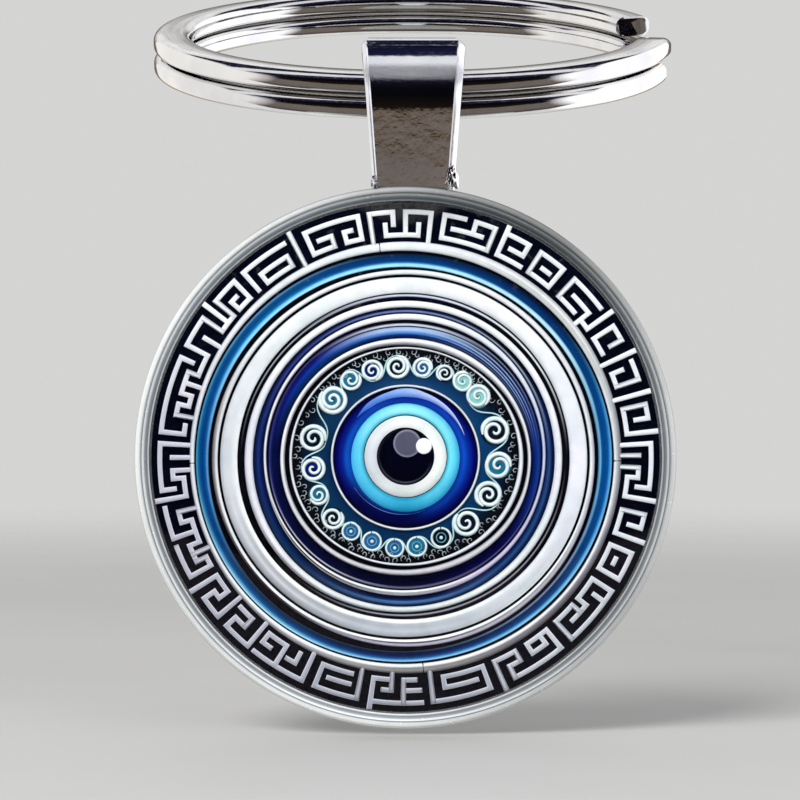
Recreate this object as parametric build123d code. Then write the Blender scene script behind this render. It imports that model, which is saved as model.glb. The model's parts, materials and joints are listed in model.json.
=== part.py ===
from build123d import *
import os
from math import acos, atan2, cos, hypot, radians, sin

# An evil eye pendant under a glass dome, hanging from a split key ring. Millimetres, +Z up.
# The origin is the centre of the key ring. The pendant hangs plumb from its near side and faces -Y.

# Split key ring: one flat wire of two turns
RING_OUTER_R = 14.0
WIRE_WIDTH = 2.0
WIRE_HEIGHT = 1.12
WIRE_ROUND = 0.4
COIL_GAP = 0.08
RING_TILT = 16.4
JOG_AT = 92.0
JOG_HALF = 17.0
JOG_STEPS = 8

# Bail: a folded strip whose round top is centred on the ring's wire
BAIL_OUTER_R = 2.85
STRIP_THICK = 0.75
BAIL_TOP_WIDTH = 5.2
BAIL_FOOT_WIDTH = 4.1
BAIL_FOOT_DEPTH = 2.7
PANEL_DEPTH = 0.1
PANEL_EDGE = 0.24
PANEL_TOP = 2.6
LEG_SPARE = 1.0

# Bezel tray, all of it round the eye's centre, which lies a little to the left of the bail
TRAY_DROP = 18.18
TRAY_SHIFT = -0.4
TRAY_R = 13.5
TRAY_DEPTH = 3.0
FLOOR_THICK = 0.8
LIP_INNER_R = 13.1
POCKET_R = 12.8
LIP_SLOPE = 0.4
LIP_ROUND = 0.2
BACK_ROUND = 0.4

# Layers in the tray, from its floor to the front
FILM_THICK = 0.1
FILM_R = 12.4
PRINT_THICK = 0.35
PRINT_R = 12.7
GLASS_R = 12.66
GLASS_EDGE = 1.35
GLASS_ROUND = 0.12
DOME_RISE = 3.0
BEAD_DEPTH = 0.45
BEAD_GAP = 0.01

# Solder between the bail's legs, and its bead at each side of the foot
SOLDER_HEIGHT = 0.55
SOLDER_OVERLAP = 0.25
SOLDER_BEAD_R = 0.42
LEFT_BEAD_SIZE = 0.75
RIGHT_BEAD_SIZE = 1.1

wire_r = RING_OUTER_R - WIRE_WIDTH / 2
coil_z = (WIRE_HEIGHT + COIL_GAP) / 2
hinge = Vector(0, -wire_r * cos(radians(RING_TILT)), -wire_r * sin(radians(RING_TILT)))

# The pendant is drawn with the hinge at its zero, and is moved to the hinge as it is written
tray_back = TRAY_DEPTH / 2
tray_front = -TRAY_DEPTH / 2
floor_y = tray_back - FLOOR_THICK
tray_top = TRAY_R - TRAY_DROP
print_back = floor_y - FILM_THICK
print_front = print_back - PRINT_THICK
glass_back = print_front - FILM_THICK


def wire_section(angle, height):
    """The wire's cross-section, angle degrees round the ring from its near point."""
    turn = radians(angle)
    spot = Vector(wire_r * sin(turn), -wire_r * cos(turn), height)
    plane = Plane(origin=spot, x_dir=(sin(turn), -cos(turn), 0), z_dir=(cos(turn), sin(turn), 0))
    return plane * RectangleRounded(WIRE_WIDTH, WIRE_HEIGHT, WIRE_ROUND)


def make_split_ring():
    """Two level coils joined by one short sloping jog, tilted so that the far side stands higher."""
    start = JOG_AT + JOG_HALF
    coil_angle = 360 - 2 * JOG_HALF
    upper = revolve(wire_section(start, coil_z), axis=Axis.Z, revolution_arc=coil_angle)
    lower = revolve(wire_section(start, -coil_z), axis=Axis.Z, revolution_arc=coil_angle)
    sections = []
    for step in range(JOG_STEPS + 1):
        share = step / JOG_STEPS
        ease = share * share * (3 - 2 * share)
        sections.append(wire_section(start - 2 * JOG_HALF * (1 - share), coil_z * (1 - 2 * ease)))
    jog = loft(sections)
    return Rot(X=RING_TILT) * (upper + jog + lower)


def loop_outline(inset):
    """A filled teardrop across the strip: a round top and two straight legs that lean in to the foot."""
    radius = BAIL_OUTER_R - inset
    foot_y = BAIL_FOOT_DEPTH / 2
    lean = atan2(tray_top, foot_y) + acos(BAIL_OUTER_R / hypot(foot_y, tray_top))
    side_y = radius * cos(lean)
    side_z = radius * sin(lean)
    end_y = foot_y - inset * cos(lean) + LEG_SPARE * sin(lean)
    end_z = tray_top - inset * sin(lean) - LEG_SPARE * cos(lean)
    round_top = ThreePointArc((side_y, side_z), (0, radius), (-side_y, side_z))
    legs = Polyline((-side_y, side_z), (-end_y, end_z), (end_y, end_z), (side_y, side_z))
    return make_face(Plane.YZ * (round_top + legs))


def loop_block(inset):
    """The filled teardrop drawn out sideways, wider than the strip."""
    return extrude(loop_outline(inset), amount=BAIL_TOP_WIDTH, both=True)


def tapered_block(edge):
    """The strip's width as a block: wide at the top, narrow at the foot, edge mm in from each side."""
    slope = (BAIL_TOP_WIDTH - BAIL_FOOT_WIDTH) / 2 / (BAIL_OUTER_R - tray_top)
    high = BAIL_OUTER_R + LEG_SPARE
    low = tray_top - 2 * LEG_SPARE
    high_x = BAIL_TOP_WIDTH / 2 + slope * LEG_SPARE - edge
    low_x = BAIL_FOOT_WIDTH / 2 - slope * 2 * LEG_SPARE - edge
    sides = Polyline((low_x, low), (high_x, high), (-high_x, high), (-low_x, low), close=True)
    return extrude(make_face(Plane.XZ * sides), amount=2 * BAIL_OUTER_R, both=True)


def make_bail(tray_envelope):
    """The folded strip, with a panel sunk into each leg's outer face, cut to sit on the tray's edge."""
    strip = (loop_block(0) - loop_block(STRIP_THICK)) & tapered_block(0)
    crown = Pos(0, 0, PANEL_TOP + BAIL_OUTER_R) * Box(*3 * [2 * BAIL_OUTER_R])
    panels = (loop_block(0) - loop_block(PANEL_DEPTH)) & tapered_block(PANEL_EDGE)
    return strip - (panels - crown) - tray_envelope


def turned(outline):
    """A solid of revolution about the eye's axis, from a closed outline of (radius, y) edges."""
    return Pos(TRAY_SHIFT, 0, -TRAY_DROP) * revolve(make_face(outline), axis=Axis.Y)


def disc(radius, back_y, front_y):
    """A plain round layer between two heights along the eye's axis."""
    return turned(Polyline((0, back_y), (radius, back_y), (radius, front_y), (0, front_y), close=True))


def make_tray():
    """A flat floor and a low wall, with a rounded back edge and a lip that slopes in to the glass."""
    wall_back = tray_back - BACK_ROUND
    wall_front = tray_front + LIP_ROUND
    outline = Polyline((0, floor_y), (0, tray_back), (TRAY_R - BACK_ROUND, tray_back))
    outline += JernArc((TRAY_R - BACK_ROUND, tray_back), (1, 0), BACK_ROUND, -90)
    outline += Line((TRAY_R, wall_back), (TRAY_R, wall_front))
    outline += JernArc((TRAY_R, wall_front), (0, -1), LIP_ROUND, -90)
    outline += Polyline(
        (TRAY_R - LIP_ROUND, tray_front),
        (LIP_INNER_R, tray_front),
        (POCKET_R, tray_front + LIP_SLOPE),
        (POCKET_R, floor_y),
        (0, floor_y),
    )
    return turned(outline)


def make_glass():
    """A flat-backed dome: a short straight edge under one shallow spherical cap."""
    rim_y = glass_back - GLASS_EDGE
    crown_y = rim_y - DOME_RISE
    dome_r = (GLASS_R**2 + DOME_RISE**2) / (2 * DOME_RISE)
    half_r = GLASS_R / 2
    half_y = crown_y + dome_r - (dome_r**2 - half_r**2) ** 0.5
    outline = Polyline(
        (0, crown_y),
        (0, glass_back),
        (GLASS_R - GLASS_ROUND, glass_back),
        (GLASS_R, glass_back - GLASS_ROUND),
        (GLASS_R, rim_y),
    )
    outline += ThreePointArc((GLASS_R, rim_y), (half_r, half_y), (0, crown_y))
    return turned(outline)


def make_clear_adhesive():
    """The clear film under the glass, which stands up as a bead between the glass and the tray's wall."""
    return turned(
        Polyline(
            (0, print_front),
            (POCKET_R, print_front),
            (POCKET_R, glass_back - BEAD_DEPTH),
            (GLASS_R + BEAD_GAP, glass_back - BEAD_DEPTH),
            (GLASS_R + BEAD_GAP, glass_back),
            (0, glass_back),
            close=True,
        )
    )


def make_solder(tray_envelope, bail):
    """Solder between the legs at the tray's edge, with a bead at each side that shows from in front."""
    fill_width = BAIL_FOOT_WIDTH - SOLDER_OVERLAP
    fill_depth = BAIL_FOOT_DEPTH - 2 * STRIP_THICK + 2 * SOLDER_OVERLAP
    solder = Pos(0, 0, tray_top) * Box(fill_width, fill_depth, 2 * SOLDER_HEIGHT)
    for side, size in ((-1, LEFT_BEAD_SIZE), (1, RIGHT_BEAD_SIZE)):
        bead = scale(Sphere(SOLDER_BEAD_R * size), by=(1.0, 2.4, 1.3))
        solder += Pos(side * BAIL_FOOT_WIDTH / 2, 0, tray_top) * bead
    return solder - bail - tray_envelope


def main():
    os.makedirs("parts", exist_ok=True)
    tray_envelope = Pos(TRAY_SHIFT, 0, -TRAY_DROP) * Rot(X=90) * Cylinder(TRAY_R, 4 * TRAY_DEPTH)
    bail = make_bail(tray_envelope)
    pendant = {
        "bail": bail,
        "bail_solder": make_solder(tray_envelope, bail),
        "bezel_tray": make_tray(),
        "backing_adhesive": disc(FILM_R, floor_y, print_back),
        "printed_insert": disc(PRINT_R, print_back, print_front),
        "clear_adhesive": make_clear_adhesive(),
        "glass_cabochon": make_glass(),
    }
    export_step(make_split_ring(), "parts/split_ring.step")
    for node, shape in pendant.items():
        export_step(Pos(hinge) * shape, f"parts/{node}.step")


main()
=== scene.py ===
import json
import re
from math import acos, atan2, cos, hypot, pi, radians, sin, sqrt, tan

import bmesh
import bpy
import numpy as np
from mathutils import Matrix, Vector, noise


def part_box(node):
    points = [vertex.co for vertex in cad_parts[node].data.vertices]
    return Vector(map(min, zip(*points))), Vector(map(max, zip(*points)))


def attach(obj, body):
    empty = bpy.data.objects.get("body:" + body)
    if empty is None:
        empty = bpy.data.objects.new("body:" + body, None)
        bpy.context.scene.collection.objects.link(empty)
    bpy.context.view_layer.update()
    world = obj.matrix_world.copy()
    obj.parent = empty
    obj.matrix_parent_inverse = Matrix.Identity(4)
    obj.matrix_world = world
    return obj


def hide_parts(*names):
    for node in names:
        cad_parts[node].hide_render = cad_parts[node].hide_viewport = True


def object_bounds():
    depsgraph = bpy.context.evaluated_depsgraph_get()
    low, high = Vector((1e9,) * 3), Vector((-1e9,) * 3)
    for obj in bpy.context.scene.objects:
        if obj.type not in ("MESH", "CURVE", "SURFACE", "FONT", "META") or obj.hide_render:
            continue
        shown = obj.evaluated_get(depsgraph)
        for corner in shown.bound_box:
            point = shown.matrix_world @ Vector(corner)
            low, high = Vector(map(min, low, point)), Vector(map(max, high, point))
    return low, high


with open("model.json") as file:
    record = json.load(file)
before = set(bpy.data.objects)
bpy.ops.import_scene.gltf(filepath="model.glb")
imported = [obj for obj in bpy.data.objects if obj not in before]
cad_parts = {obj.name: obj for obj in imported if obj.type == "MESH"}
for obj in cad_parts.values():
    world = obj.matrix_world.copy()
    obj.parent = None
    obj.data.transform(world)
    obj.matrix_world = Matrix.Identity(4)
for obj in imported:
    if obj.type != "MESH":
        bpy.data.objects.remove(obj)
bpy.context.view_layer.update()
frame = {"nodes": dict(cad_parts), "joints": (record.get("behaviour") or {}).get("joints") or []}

# An evil eye pendant: a printed disc under a glass dome in a metal tray, hung from a split ring.
# Lengths are in millimetres and become metres as a mesh is made. The eye's middle is the zero of
# the tray, the print and the glass, y is their depth, and angles run clockwise from the top as the
# front shows them. The art is laid out as it looks from the front, in the plane of the tray's rim.
MM = 0.001

# ---------------------------------------------------------------- sizes from the frame


def size_of(node):
    """A node's lowest and highest corner, in millimetres."""
    low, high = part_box(node)
    return np.array(low) / MM, np.array(high) / MM


tray_low, tray_high = size_of("bezel_tray")
glass_low, glass_high = size_of("glass_cabochon")
film_low, film_high = size_of("clear_adhesive")
print_low, print_high = size_of("printed_insert")
bail_low, bail_high = size_of("bail")
ring_low, ring_high = size_of("split_ring")
hinge = np.array(frame["joints"][0]["pos_m"]) / MM
eye = (tray_low + tray_high) / 2

TRAY_R = (tray_high[0] - tray_low[0]) / 2
TRAY_FRONT = tray_low[1] - eye[1]
TRAY_BACK = tray_high[1] - eye[1]
GLASS_R = (glass_high[0] - glass_low[0]) / 2
GLASS_BACK = glass_high[1] - eye[1]
GLASS_CROWN = glass_low[1] - eye[1]
FILM_R = (film_high[0] - film_low[0]) / 2
FILM_BACK = film_high[1] - eye[1]
FILM_FRONT = film_low[1] - eye[1]
PRINT_R = (print_high[0] - print_low[0]) / 2
PRINT_BACK = print_high[1] - eye[1]

GLASS_EDGE = 1.35
GLASS_IOR = 1.5
BONDED_IOR = 1.02
BASE_THICK = 0.1
BASE_FRONT = PRINT_BACK - BASE_THICK
rim_y = GLASS_BACK - GLASS_EDGE
dome_rise = rim_y - GLASS_CROWN
dome_r = (GLASS_R**2 + dome_rise**2) / (2 * dome_rise)

# The camera stands level with the pendant, a little to the right of and above the eye's middle
CAMERA_FROM_EYE = np.array([-0.2735, -152.4, 2.859])
CAMERA_LENS = 136.6

# ---------------------------------------------------------------- meshes


WELD_M = 1e-8


def add_piece(name, points, faces, paints, body, slot, node, values=None, sharp=32):
    """A closed mesh from points in millimetres of the frame, with its paints, body and CAD node. The slot
    is not used.
    """
    mesh = bpy.data.meshes.new(name)
    mesh.from_pydata((np.asarray(points) * MM).tolist(), [], faces)
    for key, numbers in (values or {}).items():
        layer = mesh.attributes.new(key, "FLOAT", "POINT")
        layer.data.foreach_set("value", np.asarray(numbers, np.float32).ravel())
    work = bmesh.new()
    work.from_mesh(mesh)
    bmesh.ops.remove_doubles(work, verts=work.verts, dist=WELD_M)
    loose = [edge for edge in work.edges if not edge.link_faces]
    bmesh.ops.delete(work, geom=loose, context="EDGES")
    if work.calc_volume(signed=True) < 0:
        bmesh.ops.reverse_faces(work, faces=work.faces)
    work.to_mesh(mesh)
    work.free()
    mesh.shade_smooth()
    mesh.set_sharp_from_angle(angle=radians(sharp))
    for paint in paints:
        mesh.materials.append(paint)
    piece = bpy.data.objects.new(name, mesh)
    bpy.context.scene.collection.objects.link(piece)
    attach(piece, body)
    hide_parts(node)
    return piece


def skin(sections, ring=True):
    """Points and faces of a tube through closed sections, which joins up on itself or has end caps."""
    count, around = sections.shape[:2]
    index = np.arange(count * around).reshape(count, around)
    here, ahead = (index, np.roll(index, -1, axis=0)) if ring else (index[:-1], index[1:])
    quads = np.stack([here, np.roll(here, -1, axis=1), np.roll(ahead, -1, axis=1), ahead], axis=-1)
    faces = quads.reshape(-1, 4).tolist()
    if not ring:
        faces += [index[0].tolist()[::-1], index[-1].tolist()]
    return sections.reshape(-1, 3), faces


def gathered(parts):
    """Several (points, faces, values) as one, with the faces renumbered."""
    points, faces, values, start = [], [], {}, 0
    for some_points, some_faces, some_values in parts:
        points.append(some_points)
        faces += [[corner + start for corner in face] for face in some_faces]
        for key, numbers in some_values.items():
            values.setdefault(key, []).append(np.asarray(numbers).ravel())
        start += len(some_points)
    return np.concatenate(points), faces, {key: np.concatenate(runs) for key, runs in values.items()}


def rounded(corners, steps=5):
    """An outline through (radius, y, rounding) corners, with each rounding drawn as an arc."""
    outline = []
    count = len(corners)
    for k, (r, y, rounding) in enumerate(corners):
        here = np.array([r, y])
        if rounding == 0:
            outline.append(here)
            continue
        before = np.array(corners[k - 1][:2]) - here
        after = np.array(corners[(k + 1) % count][:2]) - here
        before, after = before / np.linalg.norm(before), after / np.linalg.norm(after)
        half = acos(np.clip(before @ after, -1, 1)) / 2
        middle = here + (before + after) / np.linalg.norm(before + after) * rounding / sin(half)
        first = here + before * rounding / np.tan(half) - middle
        last = here + after * rounding / np.tan(half) - middle
        for step in range(steps + 1):
            spoke = first * (1 - step / steps) + last * step / steps
            outline.append(middle + spoke / np.linalg.norm(spoke) * rounding)
    return np.array(outline)


def lathe(outline, segments):
    """A closed (radius, y) outline turned about the eye's axis."""
    turn = np.linspace(0, 2 * pi, segments, endpoint=False)[:, None]
    r, y = outline[None, :, 0], outline[None, :, 1] + 0 * turn
    return skin(np.stack([r * np.sin(turn), y, r * np.cos(turn)], axis=-1) + eye)


# ---------------------------------------------------------------- the art as the glass shows it


def through_glass(x, z, depth):
    """Where a spot at this depth must lie to show at x, z of the rim's plane, seen from the camera."""
    x, z, depth = np.broadcast_arrays(*np.atleast_1d(x, z, depth))
    spot = np.stack([x, np.full(x.shape, TRAY_FRONT), z], axis=-1).astype(float)
    ray = spot - CAMERA_FROM_EYE
    ray /= np.linalg.norm(ray, axis=-1, keepdims=True)
    from_ball = CAMERA_FROM_EYE - np.array([0, GLASS_CROWN + dome_r, 0])
    along = ray @ from_ball
    reach = -along - np.sqrt(along**2 - from_ball @ from_ball + dome_r**2)
    hit = from_ball + reach[..., None] * ray
    normal = hit / dome_r
    facing = -(ray * normal).sum(-1)
    bend = facing / GLASS_IOR - np.sqrt(1 - (1 - facing**2) / GLASS_IOR**2)
    bent = ray / GLASS_IOR + bend[..., None] * normal
    start = hit + np.array([0, GLASS_CROWN + dome_r, 0])
    return start + ((depth - start[..., 1]) / bent[..., 1])[..., None] * bent


def polar(r, turn, height):
    """A print point, height above the base disc, which shows at radius r and angle turn (radians)."""
    return through_glass(r * np.sin(turn), r * np.cos(turn), BASE_FRONT - height) + eye


def shown(angle, r):
    """Shown x and z from an angle in degrees and a radius."""
    return np.array([r * sin(radians(angle)), r * cos(radians(angle))])


SIDES = ("top", "top_right", "right", "bottom_right", "bottom", "bottom_left", "left", "top_left")


SIDE_STEP = 2 * pi / len(SIDES)
NOT_ZERO = 1e-9


def edge_radius(edge, turn):
    """The smooth closed curve through a value for each of the eight SIDES."""
    count = len(edge)
    total = 0
    for k, value in enumerate(edge):
        off = (turn - k * SIDE_STEP) / 2 + NOT_ZERO
        total = total + value * np.sin(count * off) / (count * np.tan(off))
    return total


def sides(turn):
    """How much a point belongs to each of the disc's eight sides. The shares add up to 1."""
    shares = {}
    for k, side in enumerate(SIDES):
        off = (turn - k * SIDE_STEP + pi) % (2 * pi) - pi
        shares[side] = np.where(np.abs(off) < SIDE_STEP, np.cos(2 * off) ** 2, 0)
    return shares


# Each relief goes this far down into the base disc
SUNK = -0.03
RING_SEGMENTS = 420
MOULDING_STEPS = 10
MOULDING_FULLNESS = 0.6
# A button's outline: shares of its radius where it is domed, and the drop at its edge
DOME_SHARES = (0, 0.35, 0.7, 0.92)
BUTTON_DROP = 0.015


def drawn_ring(inner, outer, profile):
    """A raised ring between two drawn edges. Its profile is a list of (share across, height)."""
    turn = np.linspace(0, 2 * pi, RING_SEGMENTS, endpoint=False)[:, None]
    low, high = edge_radius(inner, turn), edge_radius(outer, turn)
    shares = np.array([share for share, height in profile] + [1, 0])
    heights = np.array([height for share, height in profile] + [SUNK, SUNK])
    r = low + (high - low) * shares[None, :]
    points, faces = skin(polar(r, turn, heights[None, :] + 0 * turn))
    values = {"across": shares[None, :] + 0 * turn}
    values.update({key: value + 0 * r for key, value in sides(turn).items()})
    return points, faces, values


def moulding(edge, middle):
    """A profile that is edge high at both sides and middle high at its centre."""
    shares = np.linspace(0, 1, MOULDING_STEPS + 1)
    return [(s, edge + (middle - edge) * sin(pi * s) ** MOULDING_FULLNESS) for s in shares]


def drawn_dot(x, z, radius, height, crown, segments=64, values=None):
    """A small round button, slightly domed, which shows at x, z."""
    turn = np.linspace(0, 2 * pi, segments, endpoint=False)[:, None]
    shares = np.array([*DOME_SHARES, 1, 1, 0])
    domed = [height + crown * (1 - s**2) for s in DOME_SHARES]
    heights = np.array([*domed, height - BUTTON_DROP, SUNK, SUNK])
    r = radius * shares[None, :] + 0 * turn
    depth = BASE_FRONT - heights[None, :] + 0 * turn
    points, faces = skin(through_glass(x + r * np.sin(turn), z + r * np.cos(turn), depth) + eye)
    every = {"across": shares[None, :] + 0 * turn}
    every.update({key: np.full(r.shape, value) for key, value in (values or {}).items()})
    return points, faces, every


def ribbon(path, widths, height, values=None):
    """A half-round strip along an open path of shown points, with its own width at each point."""
    path, widths = np.asarray(path, float), np.asarray(widths, float)
    ahead = np.gradient(path, axis=0)
    ahead /= np.maximum(np.linalg.norm(ahead, axis=1, keepdims=True), NOT_ZERO)
    beside = np.stack([ahead[:, 1], -ahead[:, 0]], axis=1)
    shares = np.linspace(-1, 1, 7)
    offsets = np.concatenate([shares, [1, -1]])
    heights = np.concatenate([height * np.sqrt(1 - 0.85 * shares**2), [SUNK, SUNK]])
    spots = path[:, None, :] + beside[:, None, :] * (offsets[None, :] * widths[:, None] / 2)[..., None]
    depth = BASE_FRONT - heights[None, :] + 0 * widths[:, None]
    points, faces = skin(through_glass(spots[..., 0], spots[..., 1], depth) + eye, ring=False)
    every = {"across": (offsets[None, :] + 1) / 2 + 0 * widths[:, None]}
    every["along"] = np.linspace(0, 1, len(path))[:, None] + 0 * offsets[None, :]
    every.update({key: np.full(depth.shape, value) for key, value in (values or {}).items()})
    return points, faces, every


# ---------------------------------------------------------------- materials


def srgb(code):
    """A #rrggbb colour as linear numbers, with a full alpha."""
    parts = [int(code[k : k + 2], 16) / 255 for k in (1, 3, 5)]
    return (*[p / 12.92 if p <= 0.04045 else ((p + 0.055) / 1.055) ** 2.4 for p in parts], 1.0)


def stops_of(words):
    """Colour stops, from shares and colours in turn."""
    words = words.split()
    return [(float(share), colour) for share, colour in zip(words[::2], words[1::2])]


def looks(text):
    """Colour stops for each side, from text in which they follow the side's name and a colon."""
    parts = re.split(r"(\w+):", text)[1:]
    return {side: stops_of(words) for side, words in zip(parts[::2], parts[1::2])}


class Paint:
    """A node material. Each call adds a node and returns its output."""

    def __init__(self, name, tree=None):
        if tree is None:
            self.material = bpy.data.materials.new(name)
            self.material.use_nodes = True
            tree = self.material.node_tree
            self.shader = tree.nodes["Principled BSDF"]
        self.tree = tree

    def node(self, kind, out=0, ins=None, **settings):
        made = self.tree.nodes.new(kind)
        for key, value in settings.items():
            setattr(made, key, value)
        for key, value in (ins or {}).items():
            self.feed(made.inputs[key], value)
        return made.outputs[out]

    def feed(self, socket, value):
        """Link an output to a socket, or set the socket to a plain value."""
        if isinstance(value, bpy.types.NodeSocket):
            self.tree.links.new(value, socket)
        else:
            socket.default_value = value

    def value(self, name):
        return self.node("ShaderNodeAttribute", "Fac", attribute_name=name)

    def maths(self, operation, *numbers):
        return self.node("ShaderNodeMath", ins=dict(enumerate(numbers)), operation=operation)

    def vectors(self, operation, *given):
        return self.node("ShaderNodeVectorMath", ins=dict(enumerate(given)), operation=operation)

    def ramp(self, factor, stops, interpolation="LINEAR"):
        """A colour ramp of (position, colour or grey) stops."""
        made = self.tree.nodes.new("ShaderNodeValToRGB")
        self.tree.links.new(factor, made.inputs[0])
        made.color_ramp.interpolation = interpolation
        elements = made.color_ramp.elements
        while len(elements) < len(stops):
            elements.new(0.5)
        for element, (position, colour) in zip(elements, sorted(stops)):
            element.position = position
            element.color = srgb(colour) if isinstance(colour, str) else (colour, colour, colour, 1)
        return made.outputs["Color"]

    def noise(self, scale, detail=3.0, roughness=0.55, stretch=None):
        place = self.node("ShaderNodeTexCoord", "Object")
        if stretch:
            place = self.node("ShaderNodeMapping", ins={"Vector": place, "Scale": stretch})
        ins = {"Vector": place, "Scale": scale / MM, "Detail": detail, "Roughness": roughness}
        return self.node("ShaderNodeTexNoise", "Fac", ins)

    def mix(self, factor, a, b, blend="MIX"):
        made = self.tree.nodes.new("ShaderNodeMix")
        made.data_type, made.blend_type, made.clamp_factor = "RGBA", blend, True
        for socket, given in ((0, factor), (6, a), (7, b)):
            self.feed(made.inputs[socket], srgb(given) if isinstance(given, str) else given)
        return made.outputs[2]

    def bump(self, height, strength, distance, **under):
        """A bump, distance in millimetres, on top of another normal if one is given."""
        ins = {"Height": height, "Strength": strength, "Distance": distance * MM, **under}
        return self.node("ShaderNodeBump", "Normal", ins)

    def clamped(self, value, low, high, to_low, to_high, **settings):
        """Value mapped from low to high onto to_low to to_high, and no further."""
        ins = {0: value, 1: low, 2: high, 3: to_low, 4: to_high}
        return self.node("ShaderNodeMapRange", ins=ins, **settings)

    def finish(self, **sockets):
        for key, value in sockets.items():
            self.feed(self.shader.inputs[key.replace("_", " ")], value)
        return self.material


def metal(name, dark, light, rough, grain, waviness, wave_scale, pits, wear=0.0):
    """Plated metal: uneven colour and gloss, a gentle wave, fine pits, and dents where it is worn."""
    paint = Paint(name)
    cloud = paint.noise(0.35, 4)
    fine = paint.noise(grain, 2)
    tone = paint.ramp(cloud, [(0.3, dark), (0.7, light)])
    gloss = paint.ramp(fine, [(0.35, rough[0]), (0.7, rough[1])])
    normal = paint.bump(paint.noise(wave_scale, 2), 1.0, waviness)
    normal = paint.bump(fine, 1.0, pits, Normal=normal)
    if wear:
        dents = paint.maths("MULTIPLY", paint.noise(6.0, 6, 0.8), paint.value("worn"))
        normal = paint.bump(dents, 1.0, wear, Normal=normal)
    return paint.finish(Base_Color=tone, Metallic=1.0, Roughness=gloss, Normal=normal)


INK_SPECULAR = 0.05


def printed(name, table, mottle=0.06):
    """Printed shading across a ring. The table gives (share, colour) stops by side."""
    paint = Paint(name)
    across = paint.value("across")
    parts = []
    for k, side in enumerate(SIDES):
        if side not in table:
            continue
        part = paint.ramp(across, table[side])
        weight = paint.value(side)
        for beside in (SIDES[k - 1], SIDES[(k + 1) % len(SIDES)]):
            if beside not in table:
                weight = paint.maths("MULTIPLY_ADD", paint.value(beside), 0.5, weight)
        parts.append(paint.vectors("MULTIPLY", part, weight))
    colour = paint.ramp(across, table["all"]) if "all" in table else parts[0]
    for part in parts[1:]:
        colour = paint.vectors("ADD", colour, part)
    cloud = paint.noise(1.6, 5, 0.6)
    shade = paint.ramp(cloud, [(0.25, 1 - 2 * mottle), (0.6, 1.0)])
    colour = paint.mix(1.0, colour, shade, "MULTIPLY")
    gloss = paint.ramp(cloud, [(0.3, 0.5), (0.7, 0.36)])
    normal = paint.bump(paint.noise(9, 2), 0.25, 0.01)
    return paint.finish(
        Base_Color=colour, Roughness=gloss, Normal=normal, Specular_IOR_Level=INK_SPECULAR
    )


def toned(name, tones, shadow):
    """Line work whose colour is picked by the tone value, darker at both edges of the line."""
    paint = Paint(name)
    tone = paint.ramp(paint.value("tone"), tones, "CONSTANT")
    edge = paint.ramp(paint.value("across"), [(0.0, 1.0), (0.24, 0.0), (0.8, 0.0), (1.0, 0.8)])
    colour = paint.mix(edge, tone, shadow)
    cloud = paint.noise(3.0, 4)
    colour = paint.mix(1.0, colour, paint.ramp(cloud, [(0.3, 0.86), (0.6, 1.0)]), "MULTIPLY")
    gloss = paint.ramp(cloud, [(0.3, 0.48), (0.7, 0.35)])
    return paint.finish(Base_Color=colour, Roughness=gloss, Specular_IOR_Level=INK_SPECULAR)


bail_metal = metal(
    "bail_metal", "#dfe2ea", "#f1f2f6", (0.03, 0.09), 5.0, 0.012, 0.8, pits=0.003, wear=0.08
)
ring_metal = metal("ring_metal", "#d9d9dc", "#efeeec", (0.05, 0.11), 6.0, 0.006, 0.5, pits=0.0005)
solder_metal = metal("solder_metal", "#d0d0d4", "#f2f2f4", (0.08, 0.2), 6.0, 0.03, 2.2, pits=0.003)

# ---------------------------------------------------------------- split ring

WIRE_WIDTH, WIRE_HEIGHT, WIRE_ROUND, COIL_GAP = 2.0, 1.12, 0.4, 0.08
RING_TILT, JOG_AT, JOG_HALF = radians(16.4), 92.0, 17.0
WIRE_CAMBER = 0.045
CORNER_STEPS = 6
COIL_STEP = 2.0
# The cut ends are a little smaller, and reach full size this many degrees in
END_SIZE, END_SOFT = 0.86, 0.35


def wire_section(turn, height, size):
    """The wire's section as points of the frame: a rounded rectangle with slightly crowned faces."""
    half_w, half_h = WIRE_WIDTH / 2, WIRE_HEIGHT / 2
    spots = []
    for start, side_w, side_h in ((0, 1, 1), (90, -1, 1), (180, -1, -1), (270, 1, -1)):
        for step in range(CORNER_STEPS + 1):
            angle = radians(start + 90 / CORNER_STEPS * step)
            across = side_w * (half_w - WIRE_ROUND) + WIRE_ROUND * cos(angle)
            up = side_h * (half_h - WIRE_ROUND) + WIRE_ROUND * sin(angle)
            across *= 1 - WIRE_CAMBER * (up / half_h) ** 2
            up *= 1 - WIRE_CAMBER * 2 * (across / half_w) ** 2
            spots.append((across * size, up * size))
    spots = np.array(spots)
    r = ring_r + spots[:, 0]
    x, y, z = r * sin(turn), -r * cos(turn), height + spots[:, 1]
    tilted_y = y * cos(RING_TILT) - z * sin(RING_TILT)
    tilted_z = y * sin(RING_TILT) + z * cos(RING_TILT)
    return np.stack([x, tilted_y, tilted_z], axis=-1)


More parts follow.
